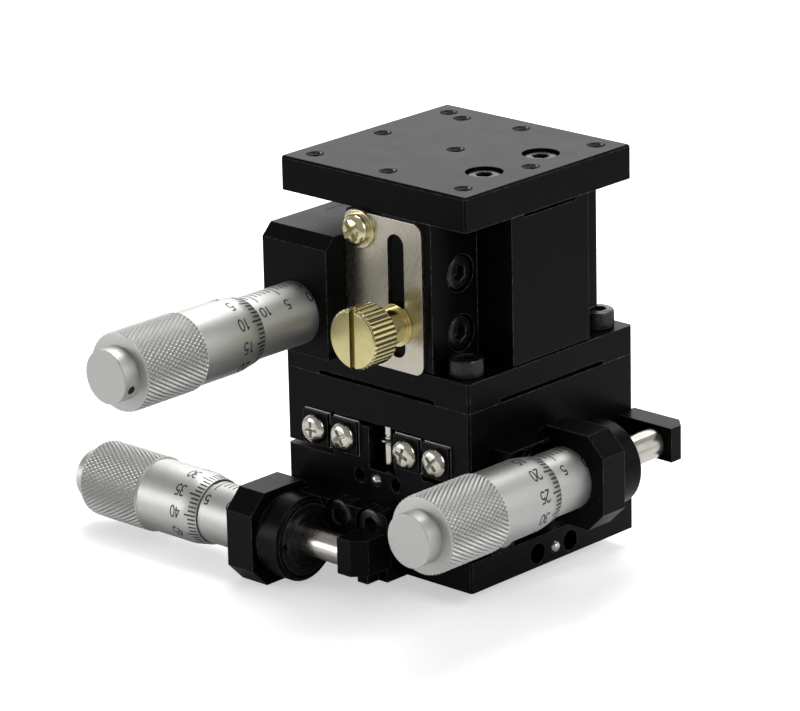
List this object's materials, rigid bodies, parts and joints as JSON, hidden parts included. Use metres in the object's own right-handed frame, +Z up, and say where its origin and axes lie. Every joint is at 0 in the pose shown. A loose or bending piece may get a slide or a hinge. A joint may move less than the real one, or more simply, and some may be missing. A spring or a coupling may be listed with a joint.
{
  "type": "linear translation stage",
  "caption": "Square black XYZ translation stage: two stacked crossed-roller slides and an upright lift, each driven by a micrometer head, with a drilled top plate and a brass lock screw.",
  "frame": {"origin": "centre of the base plate's underside", "axes": "+Z up through the top plate, +X along the lower slide's travel towards its stop, +Y along the upper slide's travel"},
  "size_m": [0.094, 0.0892, 0.0688],
  "materials": {
    "black_anodised": "satin black anodised",
    "rail_steel": "ground bearing steel",
    "black_oxide": "black oxide on alloy steel",
    "nickel": "bright nickel plate",
    "satin_chrome": "satin chrome on steel",
    "polished_steel": "ground and lapped steel",
    "stainless": "brushed stainless sheet",
    "brass": "bright turned brass",
    "yellow_zinc": "yellow zinc plate",
    "spring_steel": "drawn spring wire"
  },
  "bodies": {
    "base": {"base_plate": "black_anodised", "base_ball": "polished_steel", "base_rails": "rail_steel", "base_end_plates": "black_oxide", "base_end_screws": "nickel", "base_spring_post": "nickel", "x_stop_arm": "black_anodised", "x_stop_screw": "black_oxide", "lower_spring": "spring_steel"},
    "x_carriage": {"middle_block": "black_anodised", "middle_ball": "polished_steel", "middle_rails": "rail_steel", "middle_end_plates": "black_oxide", "middle_end_screws": "nickel", "middle_spring_posts": "nickel", "x_mic_holder": "black_anodised", "x_mic_nut": "black_oxide", "x_mic_sleeve": "satin_chrome", "y_stop_arm": "black_anodised", "middle_cap_screws": "black_oxide", "upper_spring": "spring_steel"},
    "x_drive": {"x_thimble": "satin_chrome", "x_spindle": "polished_steel", "x_end_cap": "satin_chrome"},
    "lower_cages": {"lower_roller_cages": "rail_steel"},
    "y_carriage": {"upper_carriage": "black_anodised", "upper_rails": "rail_steel", "upper_end_plates": "black_oxide", "upper_end_screws": "nickel", "upper_spring_posts": "nickel", "y_mic_holder": "black_anodised", "y_mic_nut": "black_oxide", "y_mic_sleeve": "satin_chrome", "adapter_plate": "black_anodised", "lift_body": "black_anodised", "z_mic_block": "black_anodised", "z_mic_sleeve": "satin_chrome", "upper_cap_screws": "black_oxide", "clamp_plate": "stainless", "clamp_screw": "yellow_zinc", "lift_spring": "spring_steel"},
    "y_drive": {"y_thimble": "satin_chrome", "y_spindle": "polished_steel", "y_end_cap": "satin_chrome"},
    "upper_cages": {"upper_roller_cages": "rail_steel"},
    "z_carriage": {"lift_slab": "black_anodised", "lift_rails": "rail_steel", "lift_cap_screws": "black_oxide", "lift_spring_post": "nickel", "top_plate": "black_anodised", "lift_fork": "polished_steel", "lift_axle": "polished_steel"},
    "follower": {"follower_roller": "rail_steel"},
    "wedge": {"lift_wedge": "rail_steel"},
    "z_drive": {"z_thimble": "satin_chrome", "z_spindle": "polished_steel", "z_end_cap": "satin_chrome"},
    "lift_cages": {"lift_roller_cages": "rail_steel"},
    "lock": {"lock_screw": "brass"}
  },
  "joints": [
    {"name": "x_slide", "type": "slide", "parent": "base", "child": "x_carriage", "axis": [1, 0, 0], "range_m": [-0.006, 0.006], "deforming": ["lower_spring"]},
    {"name": "x_thimble_turn", "type": "hinge", "parent": "base", "child": "x_drive", "pos_m": [-0.02, -0.0281, 0.005], "axis": [1, 0, 0], "range_deg": [-4332, 4332]},
    {"name": "lower_cage_slide", "type": "slide", "parent": "base", "child": "lower_cages", "axis": [1, 0, 0], "range_m": [-0.00302, 0.00302]},
    {"name": "y_slide", "type": "slide", "parent": "x_carriage", "child": "y_carriage", "axis": [0, 1, 0], "range_m": [-0.007, 0.006], "deforming": ["upper_spring"]},
    {"name": "y_thimble_turn", "type": "hinge", "parent": "x_carriage", "child": "y_drive", "pos_m": [0.0281, -0.02, 0.0178], "axis": [0, 1, 0], "range_deg": [-4332, 5054]},
    {"name": "upper_cage_slide", "type": "slide", "parent": "x_carriage", "child": "upper_cages", "axis": [0, 1, 0], "range_m": [-0.00352, 0.00302]},
    {"name": "z_slide", "type": "slide", "parent": "y_carriage", "child": "z_carriage", "axis": [0, 0, 1], "range_m": [0, 0.012], "deforming": ["lift_spring"]},
    {"name": "wedge_slide", "type": "slide", "parent": "y_carriage", "child": "wedge", "axis": [0, 1, 0], "range_m": [-0.00001, 0.01202]},
    {"name": "z_thimble_turn", "type": "hinge", "parent": "wedge", "child": "z_drive", "pos_m": [-0.0126, -0.04, 0.042], "axis": [0, 1, 0], "range_deg": [-6, 8652]},
    {"name": "lift_cage_slide", "type": "slide", "parent": "y_carriage", "child": "lift_cages", "axis": [0, 0, 1], "range_m": [-0.00001, 0.00602]},
    {"name": "follower_turn", "type": "hinge", "parent": "z_carriage", "child": "follower", "pos_m": [-0.0126, 0.00462, 0.04315], "axis": [1, 0, 0], "range_deg": [-1, 325.5]},
    {"name": "lock_turn", "type": "hinge", "parent": "z_carriage", "child": "lock", "pos_m": [0.00545, -0.025, 0.0425], "axis": [0, 1, 0], "range_deg": [-360, 0]}
  ],
  "couplings": [
    {"joint": "x_thimble_turn", "follows": "x_slide", "rad_per_m": -12566},
    {"joint": "lower_cage_slide", "follows": "x_slide", "ratio": 0.5},
    {"joint": "y_thimble_turn", "follows": "y_slide", "rad_per_m": -12566},
    {"joint": "upper_cage_slide", "follows": "y_slide", "ratio": 0.5},
    {"joint": "z_thimble_turn", "follows": "z_slide", "rad_per_m": 12566},
    {"joint": "wedge_slide", "follows": "z_slide", "ratio": 1},
    {"joint": "lift_cage_slide", "follows": "z_slide", "ratio": 0.5},
    {"joint": "follower_turn", "follows": "z_slide", "rad_per_m": 471.4}
  ]
}
